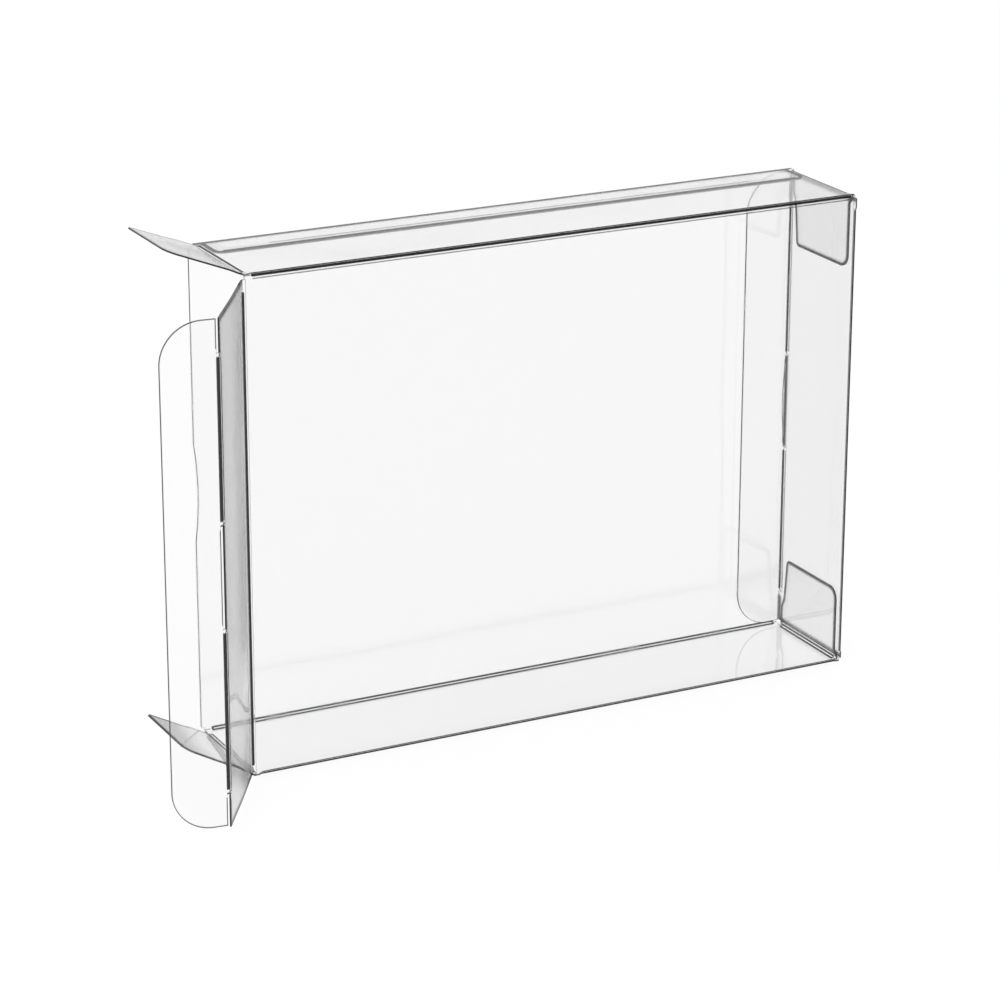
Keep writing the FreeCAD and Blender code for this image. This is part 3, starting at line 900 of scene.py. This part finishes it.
# Level of the mirrored floor by metres towards the back, with a painted contact shadow along the sleeve's
# front bottom edge and painted shade under and behind the sleeve, and a painted pool of light on it near the
# open end.
MIRRORED_FLOOR = [
    (-0.08, 0.68), (-0.026, 0.6), (-0.02, 0.08), (-0.013, 0.08),
    (-0.008, 0.45), (0.08, 0.23), (0.5, 0.23), (1.3, 0.85),
]
MIRRORED_SPAN = 2.0
POOL_PLACE, POOL_RADIUS, POOL_LEVEL = (-0.065, 0.042), 0.06, 0.9
LAMP_AIM = (0, 0, 0.07)


def dimmed(nodes, link, mirrored):
    """1 for rays that come straight or through the film, and mirrored for rays that it has reflected."""
    rays = nodes.new("ShaderNodeLightPath")
    level = nodes.new("ShaderNodeMapRange")
    level.inputs["To Min"].default_value = 1.0
    link(rays.outputs["Glossy Depth"], level.inputs["Value"])
    link(mirrored, level.inputs["To Max"])
    return level.outputs["Result"]


floor_mesh = bpy.data.meshes.new("floor")
corners = [(-1, -1), (1, -1), (1, 1), (-1, 1)]
floor_mesh.from_pydata([(x * FLOOR_HALF, y * FLOOR_HALF, FLOOR_Z) for x, y in corners], [], [(0, 1, 2, 3)])
floor = bpy.data.objects.new("floor", floor_mesh)
bpy.context.scene.collection.objects.link(floor)
floor_mat = bpy.data.materials.new("floor")
floor_mat.use_nodes = True
nodes, link = floor_mat.node_tree.nodes, floor_mat.node_tree.links.new
paint = nodes["Principled BSDF"]
paint.inputs["Base Color"].default_value = (0.12, 0.12, 0.12, 1)
paint.inputs["Roughness"].default_value = 0.9
paint.inputs["Specular IOR Level"].default_value = 0.0
place = nodes.new("ShaderNodeTexCoord")
axes = nodes.new("ShaderNodeSeparateXYZ")
link(place.outputs["Object"], axes.inputs["Vector"])
# Painted shadow and shade on the floor, seen only in the film's reflections: a contact shadow at the front
# edge, darker under and behind the sleeve
front_to_back = nodes.new("ShaderNodeMapRange")
front_to_back.inputs["From Min"].default_value = MIRRORED_FLOOR[0][0]
front_to_back.inputs["From Max"].default_value = MIRRORED_FLOOR[0][0] + MIRRORED_SPAN
link(axes.outputs["Y"], front_to_back.inputs["Value"])
floor_levels = nodes.new("ShaderNodeValToRGB")
floor_levels.color_ramp.interpolation = "EASE"
for number, (y, level) in enumerate(MIRRORED_FLOOR):
    elements = floor_levels.color_ramp.elements
    stop = elements[number] if number < 2 else elements.new(1.0)
    stop.position = (y - MIRRORED_FLOOR[0][0]) / MIRRORED_SPAN
    stop.color = (level, level, level, 1)
link(front_to_back.outputs["Result"], floor_levels.inputs["Fac"])
# Painted pool of light on the floor near the open end, seen only in the film's reflections
from_pool = nodes.new("ShaderNodeVectorMath")
from_pool.operation = "DISTANCE"
link(place.outputs["Object"], from_pool.inputs[0])
from_pool.inputs[1].default_value = (*POOL_PLACE, FLOOR_Z)
pool = nodes.new("ShaderNodeMapRange")
pool.interpolation_type = "SMOOTHSTEP"
pool.inputs["From Max"].default_value = POOL_RADIUS
pool.inputs["To Min"].default_value = POOL_LEVEL
pool.inputs["To Max"].default_value = 0.0
link(from_pool.outputs["Value"], pool.inputs["Value"])
mirrored_floor = nodes.new("ShaderNodeMath")
mirrored_floor.operation = "MAXIMUM"
link(floor_levels.outputs["Color"], mirrored_floor.inputs[0])
link(pool.outputs["Result"], mirrored_floor.inputs[1])
level = dimmed(nodes, link, mirrored_floor.outputs["Value"])
seen_floor = nodes.new("ShaderNodeMath")
seen_floor.operation = "MULTIPLY"
link(level, seen_floor.inputs[0])
seen_floor.inputs[1].default_value = FLOOR_GLOW
glow = nodes.new("ShaderNodeEmission")
link(seen_floor.outputs["Value"], glow.inputs["Strength"])
lit = nodes.new("ShaderNodeAddShader")
link(paint.outputs["BSDF"], lit.inputs[0])
link(glow.outputs["Emission"], lit.inputs[1])
link(lit.outputs["Shader"], nodes["Material Output"].inputs["Surface"])
floor_mesh.materials.append(floor_mat)

world = bpy.data.worlds.new("room")
world.use_nodes = True
bpy.context.scene.world = world
nodes, link = world.node_tree.nodes, world.node_tree.links.new
way = nodes.new("ShaderNodeTexCoord")
heights = nodes.new("ShaderNodeSeparateXYZ")
link(way.outputs["Generated"], heights.inputs["Vector"])
wall_to_ceiling = nodes.new("ShaderNodeMapRange")
wall_to_ceiling.interpolation_type = "SMOOTHSTEP"
wall_to_ceiling.inputs["From Min"].default_value = CEILING_START
wall_to_ceiling.inputs["From Max"].default_value = CEILING_FULL
wall_to_ceiling.inputs["To Min"].default_value = MIRRORED_ROOM
wall_to_ceiling.inputs["To Max"].default_value = MIRRORED_CEILING
link(heights.outputs["Z"], wall_to_ceiling.inputs["Value"])
level = dimmed(nodes, link, wall_to_ceiling.outputs["Result"])
link(level, nodes["Background"].inputs["Strength"])
nodes["Background"].inputs["Color"].default_value = (1, 1, 1, 1)


def soft_lamp(name, place, size, power):
    """Square soft lamp at place, turned to the sleeve."""
    lamp = bpy.data.lights.new(name, "AREA")
    lamp.size = size
    lamp.energy = power
    holder = bpy.data.objects.new(name, lamp)
    bpy.context.scene.collection.objects.link(holder)
    turned = (Vector(LAMP_AIM) - Vector(place)).to_track_quat("-Z", "Y")
    holder.matrix_world = Matrix.Translation(place) @ turned.to_matrix().to_4x4()


soft_lamp("lamp_above", (-0.5, 0.3, 1.5), 1.1, 6.0)
soft_lamp("lamp_front", (-0.9, -1.2, 1.1), 1.0, 4.0)

bpy.context.scene.cycles.max_bounces = 24
bpy.context.scene.cycles.transmission_bounces = 24
bpy.context.scene.cycles.glossy_bounces = 4
bpy.context.scene.view_settings.view_transform = "Standard"
